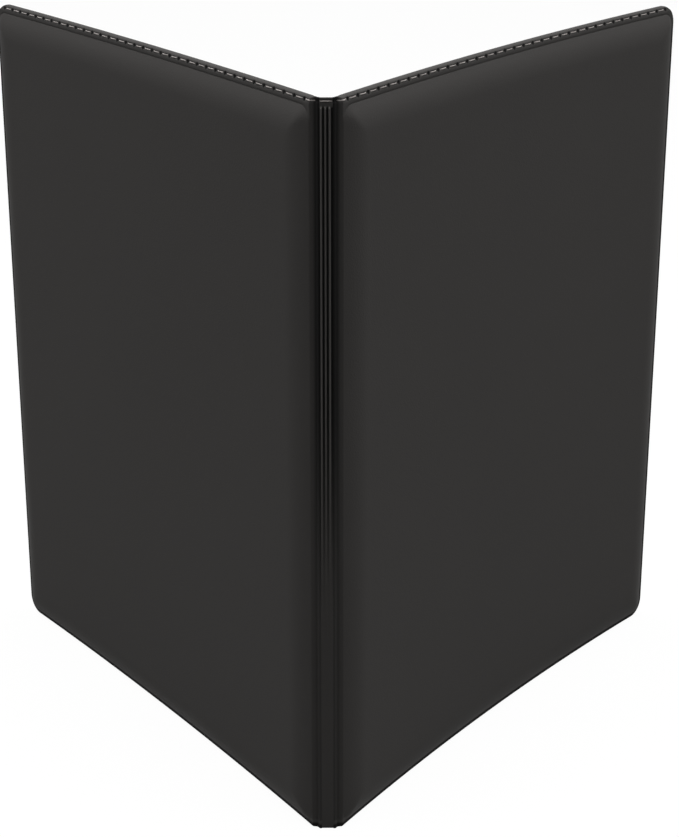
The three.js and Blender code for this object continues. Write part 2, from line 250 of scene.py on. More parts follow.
def raised(nodes, links, shader, height, strength, distance):
    """Lets a height that varies over the surface stand out of it, by at most this distance in metres."""
    bump = nodes.new("ShaderNodeBump")
    bump.inputs["Strength"].default_value = strength
    bump.inputs["Distance"].default_value = distance
    links.new(height, bump.inputs["Height"])
    links.new(bump.outputs["Normal"], shader.inputs["Normal"])


def top_holes(nodes, links, radius):
    """Mask of the needle holes in the seam along the top, from a piece's flat measures."""
    flat = nodes.new("ShaderNodeUVMap")
    flat.uv_map = "flat"
    parts = nodes.new("ShaderNodeSeparateXYZ")
    links.new(flat.outputs[0], parts.inputs[0])
    along = maths(nodes, links, "MULTIPLY", maths(nodes, links, "ABSOLUTE", parts.outputs["X"]), 1000)
    up = maths(nodes, links, "MULTIPLY", parts.outputs["Y"], 1000)
    holes = placed_group(nodes, needle_holes, First=stitch_first, Pitch=stitch_pitch, Radius=radius)
    links.new(along, holes.inputs["Along"])
    links.new(maths(nodes, links, "SUBTRACT", up, cover_height - seam_inset), holes.inputs["Off"])
    return holes.outputs["Mask"]


def grained_vinyl(name, dark, light, roughness, relief, scale):
    """Vinyl with a pressed grain, two close tones and needle holes painted near black as painted shade. It is
    black where its points are dyed and where they are given painted shade, and lighter where they are given a
    painted highlight."""
    made, nodes, links, shader = finish(name, dark, roughness)
    place = nodes.new("ShaderNodeTexCoord")
    grain = placed_group(nodes, pressed_grain, Scale=scale)
    links.new(place.outputs["Object"], grain.inputs["Vector"])
    sheen = maths(nodes, links, "MULTIPLY_ADD", grain.outputs["Tone"], 0.12, roughness - 0.06)
    links.new(sheen, shader.inputs["Roughness"])
    tone = blended(nodes, links, grain.outputs["Tone"], dark, light)
    dye_and_shade = nodes.new("ShaderNodeAttribute")
    dye_and_shade.attribute_name = "dye_and_painted_shade"
    # Painted black where the points are dyed and where they are given painted shade.
    tone = blended(nodes, links, dye_and_shade.outputs["Fac"], tone, dye_and_shade_black)
    highlight = nodes.new("ShaderNodeAttribute")
    highlight.attribute_name = "painted_highlight"
    # Painted lighter where the points are given a painted highlight.
    tone = blended(nodes, links, highlight.outputs["Fac"], tone, tuple(highlight_share * part for part in light))
    holes = top_holes(nodes, links, needle_hole_radius)
    # The needle holes are painted near black as painted shade.
    tone = blended(nodes, links, holes, tone, painted_hole_shade)
    links.new(tone, shader.inputs["Base Color"])
    height = maths(nodes, links, "MULTIPLY_ADD", holes, -4.0, grain.outputs["Height"])
    raised(nodes, links, shader, height, relief, 0.0003)
    return made


skin_vinyl = grained_vinyl(
    "skin_vinyl", (0.0365, 0.0350, 0.0340), (0.0435, 0.0417, 0.0404), roughness=0.7, relief=0.12, scale=1500)


# Spine: a narrow strip of the same vinyl with three ribs moulded into it. The ribs stop below the seam at the
# top, where the strip is pressed flat, and die out towards the foot. It is glued over the spine's lining.
rib_pitch = 1.6
rib_half_width = 0.47
rib_height = 0.75
rib_shift = -0.3  # the ribs sit a little nearer the back cover
rib_start = 3.8  # from the top
rib_full = 110
rib_fade = 110
rib_groove = 0.2  # depth of the grooves beside the ribs, which are painted black as painted shade
strip_half = 2.45
strip_rim = 0.4  # the strip rounds down to its two ends over this length
strip_rim_drop = 0.3
sheet_thickness = 0.45
seam_depth, seam_half_width = 0.28, 0.55
skin_level = 0.8
spine_level = 0.4  # how far behind the spine's outer face the origin lies


def spaced(*runs):
    """Distances in rising order. Each run goes from one distance to another in so many steps."""
    found = [runs[0][0]]
    for start, end, steps in runs:
        found += [start + (end - start) * k / steps for k in range(1, steps + 1)]
    return found


def clamped(t):
    return min(max(t, 0), 1)


def smooth(t):
    t = clamped(t)
    return t * t * (3 - 2 * t)


def flat_grid(name, across, up):
    """A flat sheet with its lines at these distances. It faces -Y, the outside of the organizer."""
    bpy.ops.object.select_all(action="DESELECT")
    bpy.ops.mesh.primitive_grid_add(x_subdivisions=len(across) - 1, y_subdivisions=len(up) - 1, size=1)
    made = bpy.context.active_object
    made.name = made.data.name = name
    for point in made.data.vertices:
        column = round((point.co.x + 0.5) * (len(across) - 1))
        row = round((point.co.y + 0.5) * (len(up) - 1))
        point.co = (across[column], 0, up[row])
    return made


def keep_flat_measures(made):
    """Stores where each point lies on the flat sheet, in metres, as the UV map of the weave and the holes."""
    layer = made.data.uv_layers[0] if made.data.uv_layers else made.data.uv_layers.new()
    layer.name = "flat"
    for loop in made.data.loops:
        point = made.data.vertices[loop.vertex_index].co
        layer.data[loop.index].uv = (point.x / 1000, point.z / 1000)


def dye_shade_and_highlight(made):
    """How much each point of a piece is painted black, as dye and as painted shade, and how much lighter it
    is painted as a highlight, both from 0 to 1.
    """
    for label in ("dye_and_painted_shade", "painted_highlight"):
        made.data.attributes.new(label, "FLOAT", "POINT")
    return made.data.attributes["dye_and_painted_shade"], made.data.attributes["painted_highlight"]


def thicken(made, thickness, offset):
    """Gives a sheet its thickness. offset is -1 for all of it behind the face and 0 for half on each side."""
    wall = made.modifiers.new("thickness", "SOLIDIFY")
    wall.thickness = thickness
    wall.offset = offset
    bpy.ops.object.modifier_apply(modifier=wall.name)


def seam_channel(v):
    """How deep the seam along the top draws the sheet in."""
    return seam_depth * math.exp(-((cover_height - seam_inset - v) / seam_half_width) ** 2)


spine_strip = flat_grid(
    "spine_strip",
    spaced((-strip_half, strip_half, 84)),
    spaced((0, 0.6, 4), (0.6, 4, 2), (4, 107, 10), (107, 242, 20), (242, 306, 6), (306, 309.4, 16),
           (309.4, 312, 22)))
keep_flat_measures(spine_strip)
dye_and_shade, highlight = dye_shade_and_highlight(spine_strip)
for point in spine_strip.data.vertices:
    x, v = point.co.x - rib_shift, point.co.z
    nearest = rib_pitch * min(max(round(x / rib_pitch), -1), 1)
    away = abs(x - nearest) / rib_half_width
    from_top = cover_height - v
    shown = smooth((from_top - rib_start + 0.5) / 0.9) * smooth((rib_full + rib_fade - from_top) / rib_fade)
    rib = rib_height * max(1 - away ** 2, 0) ** 0.6 * shown
    groove = rib_groove * shown * smooth((away - 0.8) / 0.5)
    # The grooves beside the ribs are painted black as painted shade.
    dye_and_shade.data[point.index].value = 0.9 * shown * smooth((away - 0.75) / 0.35)
    # The tops of the ribs are painted lighter as a painted highlight.
    highlight.data[point.index].value = 0.7 * shown * (1 - smooth((away - 0.3) / 0.4))
    rim = strip_rim_drop * clamped(1 - min(v, from_top) / strip_rim) ** 2
    level = skin_level + rib - groove - rim - seam_channel(v)
    point.co.y = spine_level - level
bpy.ops.object.shade_smooth()
thicken(spine_strip, sheet_thickness, -1)
spine_strip.data.materials.append(skin_vinyl)
spine_strip.data.transform(Matrix.Scale(0.001, 4))
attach(spine_strip, "spine")
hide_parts("spine_skin")


# Skins of the two covers: one sheet of vinyl each, drawn over a foam pad and a board. It runs from the spine
# round the hinge, up a groove onto the pad, and turns over the three free edges into a hem on the inside.
# A seam along the top holds hem, board and skin together, with a crease where the padding begins.
front_opening, front_bow = 36.8, 9.0
back_opening, back_bow = 35.2, 4.7
hinge_x, hinge_y = 2.9175, 0.325
hinge_level = 0.075
corner_radius = 8.5
board_top = 1.95
pad_height = 3.5
pad_shoulder = 13
pad_side_margin = 2
pad_corner = 6
crease_inset = 3.7
crease_depth, crease_half_width = 0.24, 0.27
pucker_depth = 0.10  # of the band between two needle holes
sag_depth = 0.22  # of the slow unevenness of the padding
edge_roll = 0.9
band_drop = 1.3  # the sewn band along the top rounds down to its edge
band_width = 3.2
hem_width = 6.5
hem_start = 4.2
arc_radius = skin_level - hinge_level


def depth_inside(u, v, left, right, foot, top, radius):
    """How deep a point lies inside a rectangle with rounded corners."""
    qu = max(left - u, u - right) + radius
    qv = max(foot - v, v - top) + radius
    return radius - math.hypot(max(qu, 0), max(qv, 0)) - min(max(qu, qv), 0)


def from_edge(u, v):
    return depth_inside(u, v, -1000, cover_width, 0, cover_height, corner_radius)


def round_corners(made, radius, right, foot, top):
    """Slides the points of the two outer corner squares onto quarter circles."""
    for point in made.data.vertices:
        u, v = point.co.x, point.co.z
        upper = v > (foot + top) / 2
        a = radius - (right - u)
        b = radius - (top - v if upper else v - foot)
        if a > 0 and b > 0:
            pull = 1 - max(a, b) / math.hypot(a, b)
            point.co.x -= a * pull
            point.co.z -= (1 if upper else -1) * b * pull


def rise(t):
    """Rounded rise from 0 to 1, steep at first and level at the end."""
    return 1 - (1 - clamped(t)) ** 2.2


def padded_level(u, v, side):
    """Level of a cover's outer face over the board's inner face."""
    d_edge = from_edge(u, v)
    d_pad = depth_inside(u, v, pad_side_margin, cover_width - pad_side_margin, pad_side_margin,
                         cover_height - crease_inset, pad_corner)
    flank = smooth((u - 0.9) / 1.5)
    pad = pad_height * rise(d_pad / pad_shoulder)
    roll = edge_roll - math.sqrt(max(edge_roll ** 2 - max(edge_roll - d_edge, 0) ** 2, 0))
    roll += band_drop * (1 - math.sqrt(1 - clamped(1 - (cover_height - v) / band_width) ** 2))
    near_top = smooth((v - cover_height + 14) / 6) * smooth((u - 2) / 2)
    crease = crease_depth * math.exp(-(d_pad / crease_half_width) ** 2) * near_top
    pucker = pucker_depth * math.cos(2 * math.pi * (u - stitch_first) / stitch_pitch)
    pucker *= math.exp(-((cover_height - seam_inset - v) / 1.2) ** 2) * flank
    sag = sag_depth * noise.noise(Vector((u * 0.014, v * 0.014, 3.1 * side))) * clamped(d_pad / 40)
    return skin_level + board_top * flank + pad - roll * flank - crease - seam_channel(v) - pucker + sag


def select_free_edges(made):
    """Selects the upper, the lower and the outer edge of a flat sheet, and leaves the one at the spine."""
    bpy.ops.object.mode_set(mode="EDIT")
    bpy.ops.mesh.select_all(action="DESELECT")
    bpy.context.tool_settings.mesh_select_mode = (False, True, False)
    bpy.ops.mesh.select_non_manifold(extend=False, use_wire=False, use_multi_face=False,
                                     use_non_contiguous=False, use_verts=False)
    bpy.ops.object.mode_set(mode="OBJECT")
    points = made.data.vertices
    spine_side = min(point.co.x for point in points) + 1e-4
    for edge in made.data.edges:
        if edge.select and all(points[k].co.x < spine_side for k in edge.vertices):
            edge.select = False
            for k in edge.vertices:
                points[k].select = False
    for edge in made.data.edges:
        if edge.select:
            for k in edge.vertices:
                points[k].select = True


def turn_over(made, rings):
    """Turns the free edges of a cover's skin over, ring after ring. Each ring lies so far inside the outline
    and at such a level, both of which depend on the distance from the hinge."""
    select_free_edges(made)

    def no_way(u):
        return 0

    way_before = no_way
    for way, level in rings:
        bpy.ops.object.mode_set(mode="EDIT")
        bpy.ops.mesh.extrude_edges_move()
        bpy.ops.object.mode_set(mode="OBJECT")
        for point in made.data.vertices:
            if not point.select:
                continue
            u, v = point.co.x, point.co.z
            du = from_edge(u + 0.01, v) - from_edge(u - 0.01, v)
            dv = from_edge(u, v + 0.01) - from_edge(u, v - 0.01)
            step = (way(u) - way_before(u)) / (math.hypot(du, dv) or 1)
            point.co.x += du * step
            point.co.z += dv * step
            point.co.y = hinge_level - level(u)
        way_before = way


def round_hinge(made, turn):
    """Carries the part of a skin beyond the hinge line round the hinge and on along the spine."""
    for point in made.data.vertices:
        run, out = -point.co.x, -point.co.y
        if run > 0:
            angle = min(run / arc_radius, turn)
            past = max(run - arc_radius * turn, 0)
            point.co.x = -out * math.sin(angle) - past * math.cos(turn)
            point.co.y = -out * math.cos(angle) + past * math.sin(turn)


def stand(made, side, bow, opening):
    """Bends a flat piece to its cover's slow curve, turns it to the cover's opening and sets it on the hinge.
    side is 1 for the front cover and -1 for the back cover, which is its mirror image."""
    xs = [point.co.x for point in made.data.vertices]
    bpy.ops.object.select_all(action="DESELECT")
    made.select_set(True)
    bpy.context.view_layer.objects.active = made
    bend = made.modifiers.new("bow", "SIMPLE_DEFORM")
    bend.deform_method = "BEND"
    bend.deform_axis = "Z"
    bend.angle = -math.radians(bow) * (max(xs) - min(xs)) / cover_width
    bpy.ops.object.modifier_apply(modifier=bend.name)
    turn = math.radians(90 - opening + bow / 2)
    made.data.transform(Matrix.Rotation(turn, 4, "Z"))
    made.data.transform(Matrix.Translation((hinge_x, hinge_y, 0)))
    made.data.transform(Matrix.Scale(0.001, 4))
    if side < 0:
        made.data.transform(Matrix.Scale(-1, 4, (1, 0, 0)))
        made.data.flip_normals()


def cover_skin(name, side, bow, opening):
    turn = math.radians(90 - opening + bow / 2)
    web = arc_radius * turn + hinge_x - strip_half  # from the hinge line round to the spine strip
    made = flat_grid(
        name,
        spaced((-web, -arc_radius * turn, 1), (-arc_radius * turn, 0, 6), (0, 0.9, 3), (0.9, 3.0, 14),
               (3.0, 4.2, 5), (4.2, 7, 5), (7, 13, 5), (13, 17.9, 3), (17.9, 235.4, 90), (235.4, 244, 4),
               (244, 251, 5), (251, 255, 5), (255, 258, 5), (258, 259.1, 4), (259.1, 260, 6)),
        spaced((0, 0.9, 6), (0.9, 2, 4), (2, 5, 5), (5, 8, 3), (8, 15, 5), (15, 30, 3), (30, 285, 32),
               (285, 297, 4), (297, 304, 5), (304, 307, 4), (307, 309.2, 12), (309.2, 312, 20)))
    round_corners(made, corner_radius, cover_width, 0, cover_height)
    keep_flat_measures(made)
    for point in made.data.vertices:
        point.co.y = hinge_level - padded_level(point.co.x, point.co.z, side)

    def hem_share(u):
        return smooth((u - 2.4) / (hem_start - 2.4))

    def ring(inside, level, hinge_side_level):
        """A ring of the hem, and its level where the skin rounds the hinge and has no hem."""
        return (lambda u: inside * hem_share(u),
                lambda u: hinge_side_level + (level - hinge_side_level) * hem_share(u))

    turn_over(made, [ring(0, 0.3, 0.5), ring(0, -0.1, 0.42), ring(0.12, -0.4, 0.34), ring(0.5, -0.62, 0.26),
                     ring(2.5, -0.65, 0.18), ring(hem_width, -0.65, 0.1)])
    dye_and_shade, highlight = dye_shade_and_highlight(made)
    for point in made.data.vertices:
        edge = from_edge(point.co.x, point.co.z)
        level = hinge_level - point.co.y
        # The side and foot edges, their turned-over rim and the hem are painted black, partly as dye and
        # partly as painted shade where the edges turn away from the light above. The top is left out, where
        # the edge stays lit.
        low = 1 - smooth((point.co.z - cover_height + 12) / 6)
        share = 0.9 * (1 - smooth((edge - 1.5) / 0.8))
        if level < 0.95 and point.co.x > 4:
            share = 1
        # The groove at the hinge is painted black as painted shade, more towards the top, where the ribs are.
        groove = 1 - smooth((point.co.x - 0.9) / 0.9)
        groove *= 0.35 + 0.5 * smooth((rib_full + rib_fade - cover_height + point.co.z) / rib_fade)
        dye_and_shade.data[point.index].value = max(share * low, groove)
        # A narrow line about 3 mm inside the side and foot edges is painted lighter as a painted highlight.
        highlight.data[point.index].value = 0.45 * low * math.exp(-((edge - 3.0) / 0.6) ** 2)
    bpy.ops.object.shade_smooth()
    round_hinge(made, turn)
    thicken(made, sheet_thickness, -1)
    stand(made, side, bow, opening)
    made.data.materials.append(skin_vinyl)
    return made


front_skin = cover_skin("front_cover_skin", 1, front_bow, front_opening)
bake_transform(front_skin)
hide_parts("front_skin")

back_skin = cover_skin("back_cover_skin", -1, back_bow, back_opening)
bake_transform(back_skin)
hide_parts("back_skin")


# Foam pads and boards: open white foam glued on grey pressed card. They stay as they are in the frame, inside
# the skins, and are given their materials.
foam, nodes, links, shader = finish("white_foam", (0.78, 0.76, 0.70), 0.95)
place = nodes.new("ShaderNodeTexCoord")
cells = placed_group(nodes, pressed_grain, Scale=1200)
links.new(place.outputs["Object"], cells.inputs["Vector"])
# The foam is painted darker in the low parts of its cells, as painted shade in its pores.
links.new(blended(nodes, links, cells.outputs["Height"], (0.60, 0.58, 0.52), (0.80, 0.78, 0.72)),
          shader.inputs["Base Color"])
raised(nodes, links, shader, cells.outputs["Height"], 0.6, 0.0005)

card, nodes, links, shader = finish("grey_card", (0.27, 0.25, 0.21), 0.9)
place = nodes.new("ShaderNodeTexCoord")
fibres = placed_group(nodes, pressed_grain, Scale=700)
links.new(place.outputs["Object"], fibres.inputs["Vector"])
# The card is painted darker in the low parts of its relief, as painted shade.
links.new(blended(nodes, links, fibres.outputs["Height"], (0.22, 0.20, 0.17), (0.31, 0.29, 0.25)),
          shader.inputs["Base Color"])
raised(nodes, links, shader, fibres.outputs["Height"], 0.3, 0.0003)

for names, material in ((("front_foam", "back_foam"), foam), (("front_board", "back_board"), card)):
    for name in names:
        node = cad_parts[name]
        node.data.materials.clear()
        node.data.materials.append(material)


# Linings: a thin woven cloth with a black coating, glued over the board and the hem on the inside. Each runs
# from its cover across the hinge to the middle of the spine, where the two meet.
woven, nodes, links, given, kept = new_group("woven_threads", [("Vector", "Vector"), ("Pitch", "Float")],
                                             ["Height", "Tone"])
parts = nodes.new("ShaderNodeSeparateXYZ")
links.new(given.outputs["Vector"], parts.inputs[0])
waves = []
for axis in ("X", "Y"):
    phase = maths(nodes, links, "MULTIPLY", maths(nodes, links, "DIVIDE", parts.outputs[axis],
                                                  given.outputs["Pitch"]), math.pi)
    waves.append(maths(nodes, links, "SINE", phase))
over = maths(nodes, links, "MULTIPLY", waves[0], waves[1])
warp = maths(nodes, links, "MULTIPLY", maths(nodes, links, "ABSOLUTE", waves[0]),
             maths(nodes, links, "MAXIMUM", over, 0))
weft = maths(nodes, links, "MULTIPLY", maths(nodes, links, "ABSOLUTE", waves[1]),
             maths(nodes, links, "MAXIMUM", maths(nodes, links, "MULTIPLY", over, -1), 0))
links.new(maths(nodes, links, "ADD", warp, weft), kept.inputs["Height"])
streaks = nodes.new("ShaderNodeTexNoise")
streaks.inputs["Scale"].default_value = 60
streaks.inputs["Detail"].default_value = 4
links.new(given.outputs["Vector"], streaks.inputs["Vector"])
links.new(streaks.outputs["Fac"], kept.inputs["Tone"])

lining_cloth, nodes, links, shader = finish("lining_cloth", (0.022, 0.021, 0.020), 0.8)
flat = nodes.new("ShaderNodeUVMap")
flat.uv_map = "flat"
weave = placed_group(nodes, woven, Pitch=0.00042)
links.new(flat.outputs[0], weave.inputs["Vector"])
tone = blended(nodes, links, weave.outputs["Tone"], (0.019, 0.0185, 0.0175), (0.029, 0.028, 0.0265))
holes = top_holes(nodes, links, 0.6)
# The needle holes are painted near black as painted shade.
links.new(blended(nodes, links, holes, tone, painted_hole_shade), shader.inputs["Base Color"])
sheen = maths(nodes, links, "MULTIPLY_ADD", weave.outputs["Height"], -0.15, 0.85)
links.new(sheen, shader.inputs["Roughness"])
height = maths(nodes, links, "MULTIPLY_ADD", holes, -2.0, weave.outputs["Height"])
raised(nodes, links, shader, height, 0.35, 0.0002)

lining_thickness = 0.4
lining_inset = 1
lining_ramp = 2
fold_reach = 0.8  # half the length of lining that goes round the inside of the hinge
inner_seam_drop = 0.6  # the seam along the top lies this much lower on the inside


def hem_step(u, v):
    """How much lower a sheet lies where it crosses the hem of the skin."""
    on_hem = smooth((hem_width + lining_ramp - from_edge(u, v)) / lining_ramp) * smooth((u - 2.6) / 1.6)
    return 0.65 * on_hem


def lining_level(u, v):
    """Level of the middle of a lining: on the board, or a step lower on the hem, and level at the hinge."""
    off_hinge = smooth((u - 1.0) / 1.3)
    dip = 0.12 * math.exp(-((cover_height - seam_inset - inner_seam_drop - v) / 0.6) ** 2)
    return hinge_level + (-lining_thickness - hinge_level) * off_hinge - hem_step(u, v) + dip * off_hinge


def fold_hinge(made, turn):
    """Folds a lining at its hinge, in a small even curve, and carries the rest on along the spine."""
    for point in made.data.vertices:
        run, out = -point.co.x, -point.co.y
        if run > -fold_reach:
            t = clamped((fold_reach + run) / (2 * fold_reach))
            past = max(run, fold_reach)
            point.co.x = (1 - t) ** 2 * fold_reach - t * t * past * math.cos(turn)
            point.co.y = t * t * past * math.sin(turn) - out * (1 - t)


def cover_lining(name, side, bow, opening):
    turn = math.radians(90 - opening + bow / 2)
    right = cover_width - lining_inset
    made = flat_grid(
        name,
        spaced((-hinge_x, -fold_reach, 4), (-fold_reach, fold_reach, 10), (fold_reach, 4.4, 12),
               (4.4, 7.5, 2), (7.5, 10, 3), (10, 250, 60), (250, 256, 8), (256, right, 6)),
        spaced((lining_inset, 4, 6), (4, 10, 10), (10, 302, 60), (302, 308, 10), (308, 311, 12)))
    round_corners(made, corner_radius - lining_inset, right, lining_inset, cover_height - lining_inset)
    keep_flat_measures(made)
    for point in made.data.vertices:
        point.co.y = hinge_level - lining_level(point.co.x, point.co.z)
    fold_hinge(made, turn)
    bpy.ops.object.shade_smooth()
    thicken(made, lining_thickness, 0)
    stand(made, side, bow, opening)
    made.data.materials.append(lining_cloth)
    return made


front_lining = cover_lining("front_lining_cloth", 1, front_bow, front_opening)
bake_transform(front_lining)
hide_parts("front_lining", "spine_lining")

back_lining = cover_lining("back_lining_cloth", -1, back_bow, back_opening)
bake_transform(back_lining)
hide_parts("back_lining")


# Document pockets: one large sheet of thinner vinyl on each cover, sewn down at the spine side, the foot and
# the outer edge. The mouth has a folded hem. The front one slants up outwards and the back one has a thumb
# notch.
pocket_vinyl = grained_vinyl(
    "pocket_vinyl", (0.027, 0.0262, 0.0248), (0.033, 0.032, 0.0305), roughness=0.6, relief=0.2, scale=1100)
pocket_left = 14
pocket_right = cover_width - lining_inset
pocket_foot = lining_inset
pocket_thickness = 0.45
pocket_hem = 8
pocket_gap = 0.1  # between the sheets that lie on one another
pocket_lift = 1.0  # how far a document pocket stands off the lining
sewn_run = 10
front_mouth_at_spine, front_mouth_at_edge = 165, 212
back_mouth = 190
notch_radius = 15
notch_middle = (pocket_left + cover_width) / 2


def pocket_level(u, v):
    """Level of the middle of a document pocket, which lies on the lining and is lifted a little off it."""
    lift = pocket_lift * rise(min(u - pocket_left, pocket_right - u, v - pocket_foot) / sewn_run)
    return -1.5 * lining_thickness - hem_step(u, v) - pocket_gap - pocket_thickness / 2 - lift


def front_mouth(u):
    return front_mouth_at_spine + (front_mouth_at_edge - front_mouth_at_spine) * (u - pocket_left) / (
        pocket_right - pocket_left)


def back_mouth_line(u):
    return back_mouth - math.sqrt(max(notch_radius ** 2 - (u - notch_middle) ** 2, 0))


def select_upper_edge(made, columns, rows):
    """Selects the uppermost line of a grid that has that many columns and rows of points."""
    bpy.ops.object.mode_set(mode="EDIT")
    bpy.context.tool_settings.mesh_select_mode = (False, True, False)
    bpy.ops.mesh.select_all(action="DESELECT")
    bpy.ops.object.mode_set(mode="OBJECT")
    top = set(range((rows - 1) * columns, rows * columns))
    for k in top:
        made.data.vertices[k].select = True
    for edge in made.data.edges:
        edge.select = edge.vertices[0] in top and edge.vertices[1] in top


def fold_mouth(made, columns, rows, gap):
    """Folds the upper edge of a pocket back behind it, as the hem of its mouth."""
    select_upper_edge(made, columns, rows)
    level_before, drop_before = 0, 0
    for level, drop in ((gap / 2, 0), (gap, 0.4), (gap, pocket_hem)):
        bpy.ops.object.mode_set(mode="EDIT")
        bpy.ops.mesh.extrude_edges_move()
        bpy.ops.object.mode_set(mode="OBJECT")
        for point in made.data.vertices:
            if point.select:
                point.co.y -= level - level_before
                point.co.z -= drop - drop_before
        level_before, drop_before = level, drop


def document_pocket(name, side, bow, opening, mouth, across):
    """A document pocket, whose upper half reaches up to the line of its mouth."""
    up = spaced((pocket_foot, 4, 4), (4, 14, 8), (14, 130, 20), (130, 180, 12))
    made = flat_grid(name, across, up)
    middle = up[-1] / 2
    for point in made.data.vertices:
        if point.co.z > middle:
            point.co.z = middle + (point.co.z - middle) * (mouth(point.co.x) - middle) / middle
    round_corners(made, corner_radius - lining_inset, pocket_right, pocket_foot, 4 * cover_height)
    for point in made.data.vertices:
        point.co.y = hinge_level - pocket_level(point.co.x, point.co.z)
    fold_mouth(made, len(across), len(up), 0.5)
    keep_flat_measures(made)
    bpy.ops.object.shade_smooth()
    thicken(made, pocket_thickness, 0)
    stand(made, side, bow, opening)
    made.data.materials.append(pocket_vinyl)
    return made


front_pocket = document_pocket(
    "front_pocket_sheet", 1, front_bow, front_opening, front_mouth,
    spaced((pocket_left, 18, 6), (18, 26, 6), (26, 240, 40), (240, 252, 10), (252, pocket_right, 8)))
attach(front_pocket, "front_cover")
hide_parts("front_document_pocket")

back_pocket = document_pocket(
    "back_pocket_sheet", -1, back_bow, back_opening, back_mouth_line,
    spaced((pocket_left, 18, 6), (18, 26, 6), (26, 121, 18), (121, 123, 6), (123, 151, 28), (151, 153, 6),
           (153, 240, 16), (240, 252, 10), (252, pocket_right, 8)))
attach(back_pocket, "back_cover")
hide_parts("back_document_pocket")


# Card pockets: two small sheets of the same vinyl sewn one over the other onto the front document pocket, the
# taller one behind. Each mouth has a folded hem.
card_left = 78
card_width = 98
card_foot = 38
card_right = card_left + card_width
card_lift = 0.3
short_card_top = card_foot + 56
tall_card_top = short_card_top + 14
tall_card_base = -1.5 * lining_thickness - pocket_gap - pocket_thickness - pocket_lift
short_card_base = tall_card_base - pocket_gap - pocket_thickness - card_lift - 0.45


def card_pocket_level(base, u, v):
    """Level of the middle of a card pocket that lies on the level base."""
    lift = card_lift * rise(min(u - card_left, card_right - u, v - card_foot) / 4)
    return base - pocket_gap - pocket_thickness / 2 - lift


def card_pocket(name, top, base):
    across = spaced((card_left, card_left + 5, 6), (card_left + 5, card_right - 5, 18),
                    (card_right - 5, card_right, 6))
    up = spaced((card_foot, card_foot + 5, 6), (card_foot + 5, top - 9, 10), (top - 9, top, 6))
    made = flat_grid(name, across, up)
    for point in made.data.vertices:
        point.co.y = hinge_level - card_pocket_level(base, point.co.x, point.co.z)
    fold_mouth(made, len(across), len(up), 0.45)
    keep_flat_measures(made)
    bpy.ops.object.shade_smooth()
    thicken(made, pocket_thickness, 0)
    stand(made, 1, front_bow, front_opening)
    made.data.materials.append(pocket_vinyl)
    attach(made, "front_cover")
    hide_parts(name.replace("_sheet", ""))
    return made


card_pocket("tall_card_pocket_sheet", tall_card_top, tall_card_base)
card_pocket("short_card_pocket_sheet", short_card_top, short_card_base)


# Sewing thread: a light brown-grey twisted thread, in long stitches whose ends dip into the needle holes. A
# row runs along the top of each cover, outside and inside, and a single stitch crosses the spine. Shorter
# stitches hold the pockets.
thread_yarn, nodes, links, shader = finish("thread_yarn", (0.24, 0.22, 0.205), 0.65)
flat = nodes.new("ShaderNodeUVMap")
flat.uv_map = "flat"
twist = nodes.new("ShaderNodeTexWave")
twist.bands_direction = "DIAGONAL"
twist.inputs["Scale"].default_value = 6
twist.inputs["Distortion"].default_value = 0.6
links.new(flat.outputs[0], twist.inputs["Vector"])
# The thread is painted darker in the low parts of its twist, as painted shade between its plies.
links.new(blended(nodes, links, twist.outputs["Fac"], (0.20, 0.182, 0.175), (0.44, 0.41, 0.395)),
          shader.inputs["Base Color"])
raised(nodes, links, shader, twist.outputs["Fac"], 0.5, 0.0002)

thread_radius = 0.21
needle_dip = 0.75  # how deep the ends of a stitch go into their holes
needle_gap = 2.0  # between one stitch and the next
hinge_stitch_start = 0.4
spine_stitch = 5.4


def one_stitch(length):
    """A stitch along X on the plane y = 0. Its middle lies proud of the plane and its ends dip below it."""
    bpy.ops.object.select_all(action="DESELECT")
    bpy.ops.mesh.primitive_cylinder_add(vertices=8, radius=thread_radius, depth=length,
                                        rotation=(0, math.pi / 2, 0))
    made = bpy.context.active_object
    bpy.ops.object.transform_apply(location=True, rotation=True, scale=True)
    bpy.ops.object.mode_set(mode="EDIT")
    for share in (-0.9, -0.72, -0.4, 0, 0.4, 0.72, 0.9):
        bpy.ops.mesh.select_all(action="SELECT")
        bpy.ops.mesh.bisect(plane_co=(share * length / 2, 0, 0), plane_no=(1, 0, 0))
    bpy.ops.object.mode_set(mode="OBJECT")
    for point in made.data.vertices:
        share = abs(point.co.x) / (length / 2)
        point.co.y += needle_dip * share ** 5 - thread_radius * 0.7
    made.data.uv_layers[0].name = "flat"
    bpy.ops.object.shade_smooth()
    return made


def stitch_row(start, end, count, level, outwards, length):
    """Stitches in a straight row on the flat cover, between two points (u, v), at a level given along it."""
    made = one_stitch(length)
    run = Vector(end) - Vector(start)
    row = made.modifiers.new("row", "ARRAY")
    row.count = count
    row.use_relative_offset = False
    row.use_constant_offset = True
    row.constant_offset_displace = (run.length / count, 0, 0)
    bpy.ops.object.modifier_apply(modifier=row.name)
    if not outwards:
        made.data.transform(Matrix.Rotation(math.pi, 4, "X"))
    made.data.transform(Matrix.Translation((run.length / count / 2, 0, 0)))
    made.data.transform(Matrix.Rotation(-math.atan2(run.y, run.x), 4, "Y"))
    made.data.transform(Matrix.Translation((start[0], 0, start[1])))
    for point in made.data.vertices:
        point.co.y += hinge_level - level(point.co.x, point.co.z)
    return made


def joined(name, rows, side, bow, opening, body):
    """Joins rows of stitches into one thread, stands it in place and lets it move with its body."""
    bpy.ops.object.select_all(action="DESELECT")
    for row in rows:
        row.select_set(True)
    bpy.context.view_layer.objects.active = rows[0]
    bpy.ops.object.join()
    made = bpy.context.active_object
    made.name = made.data.name = name
    stand(made, side, bow, opening)
    made.data.materials.append(thread_yarn)
    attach(made, body)
    return made


